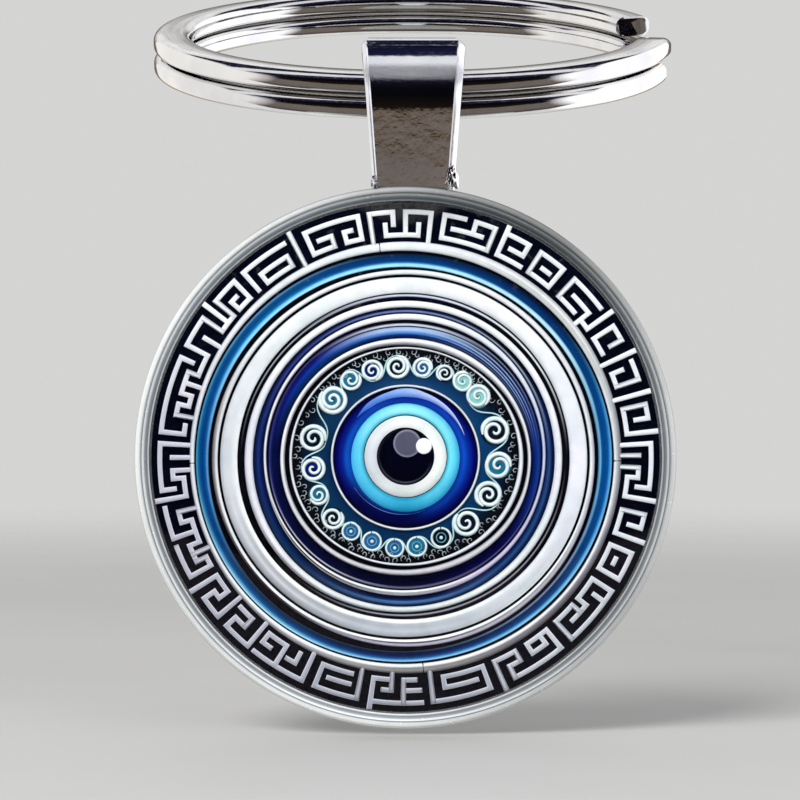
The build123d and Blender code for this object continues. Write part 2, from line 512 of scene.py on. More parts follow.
def make_split_ring():
    """Two coils of one wire, joined by a short sloping jog, with softened cut ends."""
    start, end = JOG_AT + JOG_HALF, 720 + JOG_AT - JOG_HALF
    jog_start = 360 + JOG_AT - JOG_HALF
    places = [(start, END_SIZE), (start + END_SOFT, 1.0)]
    places += [(angle, 1.0) for angle in np.arange(start + COIL_STEP, end - COIL_STEP / 2, COIL_STEP)]
    places += [(end - END_SOFT, 1.0), (end, END_SIZE)]
    coil_z = (WIRE_HEIGHT + COIL_GAP) / 2
    sections = []
    for angle, size in places:
        share = np.clip((angle - jog_start) / (2 * JOG_HALF), 0, 1)
        ease = share * share * (3 - 2 * share)
        sections.append(wire_section(radians(angle), coil_z * (1 - 2 * ease), size))
    points, faces = skin(np.array(sections), ring=False)
    add_piece("split_ring_wire", points, faces, [ring_metal], "key_ring", "ring_nickel", "split_ring")


ring_r = (ring_high[0] - ring_low[0]) / 2 - WIRE_WIDTH / 2
make_split_ring()

# ---------------------------------------------------------------- bail

STRIP_THICK, FOOT_DEPTH, FOOT_WIDTH = 0.75, 2.7, 4.1
PANEL_DEPTH, PANEL_TOP, PANEL_FADE, PANEL_WALL = 0.1, 2.6, 0.12, 0.07
LEFT_BORDER, RIGHT_BORDER, BORDER_SLOPE = 0.2, 0.31, 0.8
CORNER_TRIM, CORNER_RISE = 0.24, 0.32
INSIDE_ROUND = 0.08
LEG_SINK = 0.04
WORN_AT, WORN_REACH = 0.78, 0.4
LEG_STEPS, TOP_STEPS = 26, 110
bail_r = bail_high[2] - hinge[2]
eye_from_hinge = eye - hinge
tray_top = eye_from_hinge[2] + TRAY_R
bail_top_width = bail_high[0] - bail_low[0]
width_slope = (bail_top_width - FOOT_WIDTH) / (bail_r - tray_top)


def foot_height(x):
    """The height of the tray's edge under the bail, from the hinge."""
    return eye_from_hinge[2] + sqrt(TRAY_R**2 - (x - eye_from_hinge[0]) ** 2) - LEG_SINK


def strip_section(half):
    """(x, depth under the outer face, share of the panel) round the strip's section."""
    spots = []
    for side, border in ((1, RIGHT_BORDER), (-1, LEFT_BORDER)):
        fall = BORDER_SLOPE * border
        edge = [(0.0, fall + 0.06, 0.0), (0.012, fall, 0.0)]
        edge += [(border * share, fall * (1 - share) ** 1.15, 0.0) for share in (0.2, 0.4, 0.6, 0.8)]
        edge += [(border, 0.0, 0.0), (border + 0.015, 0.0, 0.12), (border + 0.045, 0.0, 0.75)]
        edge += [(border + PANEL_WALL, 0.0, 1.0)]
        run = [(side * (half - inward), depth, panel) for inward, depth, panel in edge]
        middle = half - border - PANEL_WALL
        run += [(side * middle * share, 0.0, 1.0) for share in (0.75, 0.5, 0.25)]
        spots += run if side > 0 else [(0.0, 0.0, 1.0)] + run[::-1]
    for side in (-1, 1):
        for step in range(4):
            angle = radians(30 * step if side < 0 else 90 - 30 * step)
            depth = STRIP_THICK - INSIDE_ROUND * (1 - sin(angle))
            spots.append((side * (half - INSIDE_ROUND + INSIDE_ROUND * cos(angle)), depth, 0.0))
        if side < 0:
            spots += [(half * share, STRIP_THICK, 0.0) for share in (-0.6, -0.2, 0.2, 0.6)]
    return spots


def make_bail():
    """The folded strip: two leaning legs and a round top, with raised borders round each leg's panel."""
    lean = atan2(tray_top, FOOT_DEPTH / 2) + acos(bail_r / hypot(FOOT_DEPTH / 2, tray_top))
    side_y, side_z = bail_r * cos(lean), bail_r * sin(lean)
    path = [("leg", 1, k / LEG_STEPS) for k in range(LEG_STEPS, 0, -1)]
    path += [("top", 0, lean + (pi - 2 * lean) * k / TOP_STEPS) for k in range(TOP_STEPS + 1)]
    path += [("leg", -1, k / LEG_STEPS) for k in range(1, LEG_STEPS + 1)]
    sections = []
    for kind, side, where in path:
        section = []
        if kind == "top":
            normal = np.array([cos(where), sin(where)])
        else:
            normal = np.array([side * cos(lean), sin(lean)])
        for k in range(len(strip_section(1.0))):
            z = bail_r * sin(where) if kind == "top" else side_z
            # The strip's width depends on z, and a leg's z on the width, so the two are settled in turn
            for again in range(3):
                half = bail_top_width / 2 - (bail_r - z) * width_slope / 2
                half -= CORNER_TRIM * max(0, 1 - (bail_r - z) / CORNER_RISE) ** 2
                x, depth, panel = strip_section(half)[k]
                if kind == "leg":
                    z = side_z + (foot_height(x) - side_z) * where
            y = bail_r * cos(where) if kind == "top" else side * (side_y - (z - side_z) * tan(lean))
            fade = np.clip((PANEL_TOP - z) / PANEL_FADE, 0, 1)
            depth += PANEL_DEPTH * panel * fade * fade * (3 - 2 * fade)
            section.append((x, y - depth * normal[0], z - depth * normal[1]))
        sections.append(section)
    points, faces = skin(np.array(sections), ring=False)
    worn = np.where(points[:, 1] < 0, np.exp(-(((points[:, 2] - WORN_AT) / WORN_REACH) ** 2)), 0)
    values = {"worn": worn}
    add_piece("bail_strip", points + hinge, faces, [bail_metal], "pendant", "bail_chrome", "bail", values)


make_bail()

# ---------------------------------------------------------------- solder


def blob(name, centre, radii, lump, seed):
    """A lump of solder: a ball stretched to its radii and pushed about by smooth noise."""
    work = bmesh.new()
    bmesh.ops.create_icosphere(work, subdivisions=4, radius=1)
    spots = []
    for vert in work.verts:
        push = 1 + lump * noise.noise(vert.co * 1.7 + Vector((seed, 0, 0)))
        push += lump * 0.5 * noise.noise(vert.co * 4.1 + Vector((0, seed, 0)))
        spots.append(np.array(vert.co) * push * radii + centre)
    faces = [[vert.index for vert in face.verts] for face in work.faces]
    work.free()
    points = np.array(spots) + hinge
    add_piece(name, points, faces, [solder_metal], "pendant", "solder", "bail_solder", sharp=80)


foot_half = FOOT_WIDTH / 2
blob("solder_fill", (0, 0, tray_top - 0.1), (foot_half - 0.12, 0.72, 0.5), 0.12, 3.1)
blob("solder_bead_left", (-foot_half + 0.1, -1.3, tray_top + 0.25), (0.16, 0.3, 0.34), 0.45, 5.7)
blob("solder_bead_right", (foot_half - 0.16, -1.25, tray_top + 0.5), (0.29, 0.42, 0.68), 0.75, 9.2)

# ---------------------------------------------------------------- tray

POCKET_R, LIP_INNER_R, FLOOR_Y = FILM_R, 13.1, PRINT_BACK + 0.1
GROOVE_R, GROOVE_DEPTH = 13.17, 0.06
# Painted light and shade on the rim at the eight SIDES: darker at the top and top right, brighter at the
# bottom and left
RIM_PAINTED_LIGHT = (0.42, 0.3, 0.66, 0.56, 0.98, 0.92, 0.9, 0.82)
# The tray's side and back have one colour of the rim, and one plain brightness with no painted light
OUTSIDE_ACROSS, OUTSIDE_GAIN = 0.9, 0.6
WALL_ACROSS = 0.12
TRAY_SEGMENTS = 480


def tray_paint():
    """Cast and plated silver, satin rather than mirror, with painted highlights and shade across the rim:
    bright bands with dark lines between them, one at the fine groove.
    """
    paint = Paint("tray_silver_painted_highlights")
    cloud = paint.noise(0.5, 4)
    fine = paint.noise(4.0, 3)
    # Painted highlights and shade across the rim: bright bands, and dark lines at the glass, between the
    # bands, at the groove and at the outer edge
    rim = paint.ramp(paint.value("across"), stops_of("""
        0 #6d7276  .12 #f4f6f6  .2 #f4f6f6  .27 #8b9093  .4 #a9adb2  .47 #f3f5f6
        .53 #f3f5f6  .58 #74797b  .64 #d4d9d8  .78 #ffffff  .93 #e3e7e4  1 #9fa5a2
    """))
    # The rim's painted light and shade by side, times an uneven tone
    shade = paint.maths("MULTIPLY", paint.value("tone_and_painted_light"), paint.ramp(cloud, [(0.3, 0.9), (0.65, 1.0)]))
    colour = paint.mix(1.0, rim, shade, "MULTIPLY")
    gloss = paint.ramp(fine, [(0.35, 0.16), (0.7, 0.28)])
    normal = paint.bump(fine, 0.5, 0.004)
    metallic = paint.maths("MULTIPLY_ADD", paint.value("outside"), 0.55, 0.3)
    return paint.finish(Base_Color=colour, Metallic=metallic, Roughness=gloss, Normal=normal)


def make_tray():
    """A shallow tray whose rim is a rolled edge, a fine groove and a slope down to the glass."""
    outline = rounded(
        [
            (0, FLOOR_Y, 0),
            (POCKET_R, FLOOR_Y, 0),
            (POCKET_R, TRAY_FRONT + 0.42, 0.05),
            (POCKET_R + 0.1, TRAY_FRONT + 0.3, 0.05),
            (LIP_INNER_R, TRAY_FRONT + 0.08, 0.06),
            (GROOVE_R, TRAY_FRONT + GROOVE_DEPTH + 0.02, 0.02),
            (GROOVE_R + 0.05, TRAY_FRONT, 0.05),
            (TRAY_R, TRAY_FRONT, 0.26),
            (TRAY_R, TRAY_BACK, 0.4),
            (0, TRAY_BACK, 0),
        ],
        steps=8,
    )
    points, faces = lathe(outline, TRAY_SEGMENTS)
    r, y = outline[:, 0], outline[:, 1]
    outside = (y > FLOOR_Y + 0.01) | ((r > GLASS_R) & (y > TRAY_FRONT + 0.5))
    across = np.clip((r - GLASS_R) / (TRAY_R - GLASS_R), WALL_ACROSS, 1)
    across = np.tile(np.where(outside, OUTSIDE_ACROSS, across), TRAY_SEGMENTS)
    turn = np.repeat(np.linspace(0, 2 * pi, TRAY_SEGMENTS, endpoint=False), len(outline))
    outside = np.tile(outside, TRAY_SEGMENTS)
    # Painted light and shade by side on the rim, one plain brightness on the side and back
    tone_and_painted_light = np.where(outside, OUTSIDE_GAIN, edge_radius(RIM_PAINTED_LIGHT, turn))
    values = {"across": across, "tone_and_painted_light": tone_and_painted_light, "outside": outside}
    paint = tray_paint()
    tray = add_piece("tray_shell", points, faces, [paint], "pendant", "tray_nickel", "bezel_tray", values)
    # The rim's shadow would darken the print's border
    tray.visible_shadow = False


make_tray()

# ---------------------------------------------------------------- adhesives and glass


def clear(name, tint, rough, ior):
    """A clear material with a faint uneven tint and gloss."""
    paint = Paint(name)
    cloud = paint.noise(0.6, 3)
    colour = paint.ramp(cloud, [(0.3, tint), (0.7, "#ffffff")])
    gloss = paint.ramp(cloud, [(0.3, 0.0), (0.8, rough)])
    return paint.finish(Base_Color=colour, Roughness=gloss, Transmission_Weight=1.0, IOR=ior)


def make_adhesive():
    """The clear film, with the bead that stands up between the glass and the tray."""
    film = clear("clear_film", "#f4f8f8", 0.03, BONDED_IOR)
    outline = rounded(
        [
            (0, FILM_BACK - 0.001, 0),
            (FILM_R - 0.005, FILM_BACK - 0.001, 0),
            (FILM_R - 0.005, FILM_FRONT, 0.03),
            (GLASS_R + 0.01, FILM_FRONT + 0.05, 0.02),
            (GLASS_R + 0.01, GLASS_BACK + 0.01, 0),
            (0, GLASS_BACK + 0.01, 0),
        ]
    )
    points, faces = lathe(outline, 180)
    piece = add_piece("adhesive_film", points, faces, [film], "pendant", "clear_adhesive", "clear_adhesive")
    piece.visible_shadow = False


CAP_STEPS = 60


def make_glass():
    """The dome: a flat back bonded to the film, a short straight edge and one shallow spherical cap."""
    glass = clear("dome_glass", "#fbfdfd", 0.01, GLASS_IOR)
    bond = clear("glass_bond", "#fbfdfd", 0.01, BONDED_IOR)
    arc = []
    widest = atan2(GLASS_R, dome_r - dome_rise)
    for step in range(CAP_STEPS + 1):
        angle = widest * (1 - step / CAP_STEPS)
        arc.append((dome_r * sin(angle), GLASS_CROWN + dome_r - dome_r * cos(angle)))
    back = rounded([(0, GLASS_BACK, 0), (GLASS_R, GLASS_BACK, 0.1), (GLASS_R, rim_y, 0)])
    points, faces = lathe(np.concatenate([back[:-1], arc]), 360)
    names = "pendant", "clear_glass", "glass_cabochon"
    piece = add_piece("glass_dome", points, faces, [glass, bond], *names, sharp=30)
    # The flat back is bonded to the film, so it neither mirrors nor bends the light again
    for face in piece.data.polygons:
        face.material_index = int(face.normal.y > 0.9)
    piece.visible_shadow = False


make_adhesive()
make_glass()

backing = Paint("backing_film")
backing_cloud = backing.noise(1.0, 3)
backing_white = backing.ramp(backing_cloud, [(0.3, "#e8e6df"), (0.7, "#f6f5f0")])
backing.finish(Base_Color=backing_white, Roughness=0.5)
backing_node = frame["nodes"]["backing_adhesive"]
backing_node.data.materials.clear()
backing_node.data.materials.append(backing.material)

# ---------------------------------------------------------------- print: the base disc


def art(name, parts, paints, **more):
    """A piece of the print, from one or several (points, faces, values)."""
    points, faces, values = gathered(parts)
    return add_piece(name, points, faces, paints, "pendant", "print", "printed_insert", values, **more)


def make_base():
    """The print's dark ground, scratched with faint purple-grey strokes."""
    paint = Paint("ground_ink")
    streaks = paint.noise(2.2, 6, 0.7, stretch=(1, 1, 2.5))
    ink = paint.ramp(streaks, stops_of(".35 #020309  .52 #030514  .66 #07081a  .78 #16152a"))
    relief = paint.bump(streaks, 0.4, 0.02)
    ground = paint.finish(
        Base_Color=ink, Roughness=0.55, Normal=relief, Specular_IOR_Level=INK_SPECULAR
    )
    edge = [(PRINT_R, PRINT_BACK, 0), (PRINT_R, BASE_FRONT, 0.02)]
    points, faces = lathe(rounded([(0, PRINT_BACK, 0), *edge, (0, BASE_FRONT, 0)]), 240)
    add_piece("print_base", points, faces, [ground], "pendant", "print", "printed_insert")


make_base()

# ---------------------------------------------------------------- print: the rings

# The radius of each drawn circle at the eight SIDES, from the top clockwise
BORDER_OUT = (10.73,) * 8
BORDER_IN = (10.28, 10.27, 10.36, 10.31, 10.26, 10.44, 10.50, 10.42)
CHANNEL_OUT = (10.14, 10.17, 10.27, 10.18, 10.16, 10.37, 10.43, 10.30)
CHANNEL_IN = (9.46, 9.49, 9.58, 9.57, 9.62, 9.80, 9.79, 9.62)
BAND_OUT = (9.34, 9.34, 9.41, 9.43, 9.41, 9.46, 9.63, 9.38)
BAND_IN = (9.09, 9.08, 9.16, 9.10, 9.05, 9.21, 9.34, 9.14)
WIDE_OUT = (8.96, 8.96, 9.03, 8.98, 8.92, 9.10, 9.21, 9.00)
WIDE_IN = (8.19, 8.18, 8.16, 8.15, 8.05, 8.26, 8.36, 8.21)
BLACK_IN = (7.80, 7.79, 7.79, 7.76, 7.70, 7.96, 8.00, 7.85)
NAVY_OUT = (7.47, 7.46, 7.42, 7.42, 7.42, 7.58, 7.59, 7.50)
NAVY_IN = (7.15, 7.12, 6.97, 6.91, 6.88, 7.01, 7.06, 7.11)
LINE_IN = (6.85, 6.86, 6.81, 6.69, 6.60, 6.80, 6.92, 6.91)
ROYAL_OUT = (6.80, 6.82, 6.77, 6.65, 6.53, 6.75, 6.88, 6.87)
ROYAL_IN = (5.93, 6.03, 6.24, 6.08, 5.87, 6.11, 6.23, 6.06)
MOULD_IN = (5.58, 5.71, 6.07, 5.79, 5.57, 5.86, 6.00, 5.82)
FINE_OUT = (5.50, 5.60, 5.86, 5.63, 5.40, 5.62, 5.78, 5.63)
SCROLL_OUT = (5.40, 5.49, 5.64, 5.42, 5.27, 5.49, 5.64, 5.52)
SCROLL_IN = (3.63, 3.68, 3.72, 3.68, 3.63, 3.68, 3.72, 3.68)
GAP_OUT = (3.51, 3.56, 3.60, 3.56, 3.51, 3.56, 3.60, 3.56)
COBALT_OUT = (3.43, 3.50, 3.57, 3.50, 3.43, 3.50, 3.57, 3.50)
COBALT_IN = (2.70,) * 8
TURQUOISE_IN = (2.13, 2.12, 2.08, 2.03, 2.01, 2.03, 2.08, 2.12)
EYE_WHITE_OUT = (2.08, 2.07, 2.04, 1.99, 1.97, 1.99, 2.04, 2.07)
PUPIL_OUT = (1.49, 1.47, 1.43, 1.39, 1.37, 1.39, 1.43, 1.47)
CENTRE = (0,) * 8

SILVER = looks("""
    top: 0 #c9ccd4  .2 #ffffff  .85 #f4f5f9  1 #b9bcc8
    top_right: 0 #9ea0a4  .15 #e4e5e4  .4 #c9cacb  .6 #f4f5f2  1 #a9abb0
    right: 0 #c4c6ca  .15 #ffffff  .32 #d5d7dc  .6 #a6a6ac  1 #77777e
    bottom_right: 0 #9a98a0  .14 #ffffff  .3 #e0dce4  .45 #868189  1 #5c5864
    bottom: 0 #a4a4a8  .12 #ffffff  .3 #f0f0f2  .45 #8c8a8c  .7 #a29f9f  1 #6a686a
    bottom_left: 0 #dcdee4  .15 #ffffff  .4 #eeeff3  .6 #b4b4bb  1 #7a7a82
    left: 0 #d9dbe2  .3 #f2f3f7  .7 #d5d6dd  1 #90929e
    top_left: 0 #dcdee4  .3 #f8f9fb  .8 #e6e8ee  1 #9fa2ae
""")
INK = looks("all: 0 #020308  .5 #05060c  1 #020308")
CHANNEL = looks("""
    top: 0 #1f4a66  .03 #4a8aa8  .1 #a8e2fb  .24 #9fdcfb  .33 #2f7fc0  .44 #053e7c  .78 #062c60
        .88 #123052  1 #0a1c38
    top_right: 0 #7fb3c8  .1 #cdeef6  .24 #9fd2ea  .33 #04366a  .6 #023068  .85 #081a40  1 #08162e
    right: 0 #0e3358  .08 #5a9cc8  .18 #6fb2de  .28 #0a4c86  .5 #044483  .72 #07509a  .85 #3c90cf
        .95 #62abe4  1 #16406c
    bottom_right: 0 #141c40  .04 #7d93c0  .12 #93a9cf  .2 #0d2c5c  .38 #0a2f60  .66 #0d4684  .8 #5aa4d6
        .94 #8ccaea  1 #1d4f80
    bottom: 0 #0b1430  .06 #3c5478  .13 #142448  .3 #06153c  .5 #05255c  .68 #124e8c  .82 #4f93cc
        .93 #93c8f0  1 #3c6c98
    bottom_left: 0 #3c4a68  .12 #0c3358  .35 #07366a  .6 #105288  .8 #5aa6d0  .93 #b0e0f0  1 #7db4cc
    left: 0 #0d2a50  .05 #4b84b4  .12 #5f9ccf  .25 #145a9c  .42 #053a7e  .64 #06427c  .82 #146aa0
        .93 #4a9cc6  1 #124060
    top_left: 0 #10305c  .03 #7cc0dc  .12 #9fe0fa  .26 #4fb0ea  .35 #1569b0  .55 #06487c  .8 #11528e
        .93 #6aa8d8  1 #1c3c6a
""")
BAND = looks("""
    top: 0 #d8dae0  .3 #ffffff  .8 #ffffff  1 #aeb2ba
    right: 0 #b4b6bf  .25 #ffffff  .5 #dcdde6  .85 #c4c2d0  1 #8a8c98
    bottom_right: 0 #e9ebee  .2 #ffffff  .38 #96979f  .55 #b4b0bd  .8 #ddd4e4  1 #8f889c
    bottom: 0 #d9dadd  .1 #ffffff  .3 #fbfbfd  .4 #3c3844  .5 #2a2734  .62 #c4c0d4  .85 #dcd9ee
        1 #6f6c86
    bottom_left: 0 #dcdde0  .2 #ffffff  .52 #f0f0f2  .62 #26222e  .8 #4a4156  1 #221c30
    left: 0 #d6d6d8  .15 #ffffff  .4 #d8d6d8  .55 #a09da0  .8 #7c787c  1 #4c484e
    top_left: 0 #d0d3d8  .3 #ffffff  .8 #f4f5f7  1 #9a9da6
""")
WIDE = looks("""
    top: 0 #e0e2e8  .1 #fbfbfd  .5 #fdfdfe  .9 #fbfbfd  1 #d0d3da
    top_right: 0 #c9ccd2  .15 #e6e8eb  .3 #f8f9fb  .9 #f8f9fb  1 #c9ccd2
    right: 0 #c4c6cf  .08 #e3e4ee  .2 #efeff8  .9 #f2f2fa  1 #cfd1da
    bottom_right: 0 #c3c6cf  .1 #eef0f6  .3 #e2e4ea  .6 #d6d9e0  .9 #e6e8ee  .97 #ffffff  1 #d0d2d8
    bottom: 0 #cfd2d6  .06 #ffffff  .18 #fafafb  .28 #bcc0c7  .45 #b9bec6  .7 #ced5df  .95 #bfc3ca
        1 #9fa2a9
    bottom_left: 0 #d9dadf  .06 #ffffff  .2 #f1f1f4  .32 #a9aab0  .45 #babac1  .6 #dcdce2  .75 #b7b7bf
        .92 #a0a0a9  1 #77777f
    left: 0 #e6e6ea  .06 #ffffff  .2 #f2f3f7  .45 #dfe0e6  .8 #d9dae0  1 #b7b8c0
    top_left: 0 #d9dbe0  .15 #f4f6f8  .9 #f2f5f7  1 #c9ccd2
""")
BLACK_RING = looks("""
    top: 0 #030307  .35 #04050c  .5 #14203c  .6 #b9bcd6  .72 #e4e6f2  .85 #1c3050  1 #0a0f22
    top_right: 0 #030305  .48 #06080c  .58 #dfe3e6  .7 #e4e8ea  .8 #0a0d12  1 #030508
    right: 0 #030307  .5 #0b0b12  1 #030307
    bottom_right: 0 #030307  .3 #06060c  .37 #96909f  .46 #8c8899  .55 #06060c  1 #030307
    bottom: 0 #050508  .26 #0a0a10  .35 #a5a5b6  .48 #8c8c9e  .58 #040409  1 #030307
    bottom_left: 0 #030307  1 #030307
    left: 0 #030307  .5 #0a0a12  1 #030307
    top_left: 0 #030307  .4 #06070b  .48 #8c9098  .57 #b4b8c0  .65 #05060a  1 #030307
""")
WHITE = looks("""
    top: 0 #d9dbe4  .25 #ffffff  .85 #ffffff  1 #c8cad6
    right: 0 #c5c8d2  .3 #e9e9f2  .8 #f6f5fa  1 #b8bac4
    bottom_right: 0 #b0b2ba  .3 #eef3f4  .8 #edf3f4  1 #a4a6ae
    bottom: 0 #b4b7be  .3 #eef2f3  .7 #e6eaed  1 #8f9299
    bottom_left: 0 #c2c3cc  .3 #f6f6f9  .6 #e6e6ea  .72 #a4a6ad  1 #7f8289
    left: 0 #c8c9d4  .3 #f2f0f8  .75 #e9e4f0  1 #a9a6b2
    top_left: 0 #cdcfd8  .3 #fafafc  .8 #fafafc  1 #b4b7c0
""")
LILAC_LINE = looks("""
    top: 0 #d9dbe4  .25 #ffffff  .85 #ffffff  1 #c8cad6
    right: 0 #7c86a8  .4 #d2d9f4  .8 #c3cdf0  1 #5c6894
    bottom_right: 0 #8c8499  .35 #dcd0f0  .8 #c6bce2  1 #5c5878
    bottom: 0 #a9a9ad  .1 #ffffff  .27 #ffffff  .45 #9fa5a0  .65 #b5b0b8  .85 #cfc7d8  1 #6a6578
    bottom_left: 0 #a9a9b4  .12 #f4f4f8  .38 #f0f0f4  .5 #1a1a24  .72 #14141c  .86 #f0f0f3  1 #c4c4ca
    left: 0 #b4b6c2  .4 #fafafc  .8 #dcdce4  1 #84869a
    top_left: 0 #b4b0cc  .3 #fafafd  .75 #f4f2fa  1 #a8a2c4
""")
NAVY = looks("""
    top: 0 #060a18  .2 #0c1c3c  .3 #5f70a8  .45 #7c8cc4  .6 #0c1a36  1 #060a18
    top_right: 0 #04060a  .15 #0a1018  .25 #7d8898  .4 #9aa4b4  .5 #060a12  1 #04050a
    right: 0 #060c28  .12 #0c1c48  .3 #223c72  .45 #28467f  .7 #06163f  1 #030a2a
    bottom_right: 0 #040e30  .25 #0a2456  .5 #2a4c80  .75 #0c2a58  1 #040c26
    bottom: 0 #03051a  .25 #060f30  .42 #16305e  .52 #4e74aa  .66 #4470a8  .8 #0c2c58  1 #030a20
    bottom_left: 0 #02081c  .1 #030d28  .3 #071c44  .55 #0a2c5a  .75 #1c3456  1 #02081c
    left: 0 #04083a  .3 #0c1a54  .5 #1c3068  .7 #0c1c50  1 #030826
    top_left: 0 #04061e  .2 #0a1040  .35 #3a4684  .5 #24326e  .7 #0a103a  1 #04061c
""")
ROYAL = looks("""
    top: 0 #020820  .1 #061a4c  .2 #0c2c6c  .28 #3c6cb8  .38 #6f9cdc  .5 #b9d0f4  .62 #a9c4ee
        .66 #101c3c  .7 #16203c  .75 #e9ecf8  .81 #dcdff0  .87 #0a0a14  1 #08080e
    top_right: 0 #04060e  .06 #0a1024  .1 #4c5c84  .16 #14284c  .22 #14284c  .26 #9fb8e4  .31 #142c60
        .38 #1c3c7c  .42 #b4cdf0  .47 #152c62  .57 #0c1c46  .62 #a8bcdc  .67 #101c44  .8 #0c1636
        .84 #8c98b8  .89 #0a0f20  1 #04060e
    right: 0 #02031a  .06 #03062c  .2 #031654  .45 #04246c  .7 #16368c  .9 #0a1f5c  1 #03061c
    bottom_right: 0 #020218  .2 #03032c  .5 #05053c  .76 #0c0c3c  .83 #5c5490  .9 #0a0a2c  1 #05051a
    bottom: 0 #010212  .4 #04061e  .78 #0a0a24  .85 #4c486c  .94 #6c6688  1 #0c0c1c
    bottom_left: 0 #02041a  .5 #060a30  .78 #0a0e2c  .83 #a4a8c4  .87 #c9cbdc  .92 #0c0c1c  1 #06060e
    left: 0 #02041c  .3 #040a38  .6 #070c3c  .74 #1a2060  .82 #343c84  .88 #0a0c40  1 #05051e
    top_left: 0 #040a20  .15 #0c2854  .3 #0a2c70  .45 #1432a0  .6 #0c1c74  .8 #0c0e4c  .86 #4c4880
        .92 #0c0a2c  1 #060414
""")
MOULD = looks("""
    top: 0 #7c7c82  .2 #a4a4aa  .45 #d4d4da  .6 #f2f2f6  .85 #f4f6fa  1 #9b9ba3
    right: 0 #84868c  .3 #c4c6ca  .6 #fbfbfc  .9 #f4f4f8  1 #8e9098
    bottom: 0 #5b5c60  .25 #d4d0d8  .55 #d9d4de  .85 #c9c6cd  1 #6f7075
    left: 0 #8a898e  .3 #d0cfd4  .6 #fbfbfc  .9 #f2f2f5  1 #85858d
""")
FINE = looks("all: 0 #a9acb6  .4 #f4f6fa  .7 #e9ebf1  1 #8d909a")
SCROLL_GROUND = looks("""
    top: 0 #1a4470  .3 #0c2e58  .55 #0a1726  .8 #0b0d13  1 #08090d
    right: 0 #0a3c68  .35 #0a345e  .6 #0a1b33  .85 #0a0c12  1 #07080b
    bottom: 0 #062a50  .3 #0a2f55  .55 #0a1420  .8 #0b0c10  1 #07080b
    left: 0 #08234a  .35 #0c3858  .6 #0a1d33  .85 #0a0c12  1 #07080b
""")
COBALT = looks("""
    top: 0 #173f9c  .3 #0a2ea0  .6 #04105c  1 #02021c
    right: 0 #0b2f9a  .25 #0f4fc4  .5 #0a2c9e  .8 #04086a  1 #02022c
    bottom: 0 #1b4f9e  .08 #0a2068  .16 #040844  .75 #03053c  1 #02022c
    bottom_left: 0 #174a9c  .1 #0c2c7c  .25 #04104c  .7 #030640  1 #02022c
    left: 0 #123f9a  .25 #0c55c2  .5 #08208e  .8 #04045e  1 #020230
""")
TURQUOISE = looks("""
    top: 0 #3aa6bf  .2 #8ff0fb  .5 #a8f6ff  .85 #7fe3f3  1 #3c9fd0
    right: 0 #2fa7c4  .25 #7ae9f8  .6 #62d8f4  1 #2f9fdc
    bottom: 0 #2490b4  .3 #34aed6  .65 #2ea2cc  1 #1c7cac
    left: 0 #2f9fc4  .3 #62d4f4  .65 #5ccaf2  1 #3fb0ec
""")
EYE_WHITE = looks("""
    top: 0 #f4f7f6  .5 #fdfffd  1 #dfe9e8
    right: 0 #f4f8f6  .5 #fbfefa  1 #dbe6e6
    bottom: 0 #dcdfdf  .5 #e4e6e4  1 #cfd3d3
    left: 0 #d6d9e2  .5 #dfe2ea  1 #c9ced6
""")
PUPIL = looks("""
    top: 0 #020216  .8 #020212  .95 #020206  1 #0a0a0e
    right: 0 #020216  .9 #020210  1 #0a0a0e
    bottom: 0 #020216  .86 #020210  .91 #4d4f5c  .95 #0a0a14  1 #040406
    left: 0 #020216  .88 #020210  .94 #23242e  1 #040406
""")

RINGS = [
    # name, inner edge, outer edge, edge height, middle height, shading
    ("key_inner_border", BORDER_IN, BORDER_OUT, 0.12, 0.2, SILVER),
    ("border_ink_line", CHANNEL_OUT, BORDER_IN, 0.04, 0.04, INK),
    ("blue_channel", CHANNEL_IN, CHANNEL_OUT, 0.16, 0.07, CHANNEL),
    ("channel_ink_line", BAND_OUT, CHANNEL_IN, 0.04, 0.04, INK),
    ("silver_band", BAND_IN, BAND_OUT, 0.1, 0.18, BAND),
    ("band_ink_line", WIDE_OUT, BAND_IN, 0.04, 0.04, INK),
    ("wide_white_ring", WIDE_IN, WIDE_OUT, 0.12, 0.2, WIDE),
    ("black_ring", BLACK_IN, WIDE_IN, 0.05, 0.09, BLACK_RING),
    ("second_white_ring", NAVY_OUT, BLACK_IN, 0.1, 0.17, WHITE),
    ("navy_ring", NAVY_IN, NAVY_OUT, 0.05, 0.12, NAVY),
    ("third_white_ring", LINE_IN, NAVY_IN, 0.08, 0.15, LILAC_LINE),
    ("royal_ink_line", ROYAL_OUT, LINE_IN, 0.04, 0.04, INK),
    ("royal_blue_ring", ROYAL_IN, ROYAL_OUT, 0.12, 0.05, ROYAL),
    ("scroll_outer_moulding", MOULD_IN, ROYAL_IN, 0.1, 0.22, MOULD),
    ("moulding_ink_line", FINE_OUT, MOULD_IN, 0.04, 0.04, INK),
    ("scroll_fine_line", SCROLL_OUT, FINE_OUT, 0.08, 0.14, FINE),
    ("scroll_ground", SCROLL_IN, SCROLL_OUT, 0.03, 0.03, SCROLL_GROUND),
    ("scroll_inner_line", GAP_OUT, SCROLL_IN, 0.1, 0.16, FINE),
    ("eye_gap", COBALT_OUT, GAP_OUT, 0.03, 0.03, INK),
    ("cobalt_ring", COBALT_IN, COBALT_OUT, 0.05, 0.11, COBALT),
    ("turquoise_ring", TURQUOISE_IN, COBALT_IN, 0.1, 0.14, TURQUOISE),
    ("iris_ink_line", EYE_WHITE_OUT, TURQUOISE_IN, 0.08, 0.08, INK),
    ("eye_white_ring", PUPIL_OUT, EYE_WHITE_OUT, 0.13, 0.17, EYE_WHITE),
    ("pupil", CENTRE, PUPIL_OUT, 0.14, 0.16, PUPIL),
]


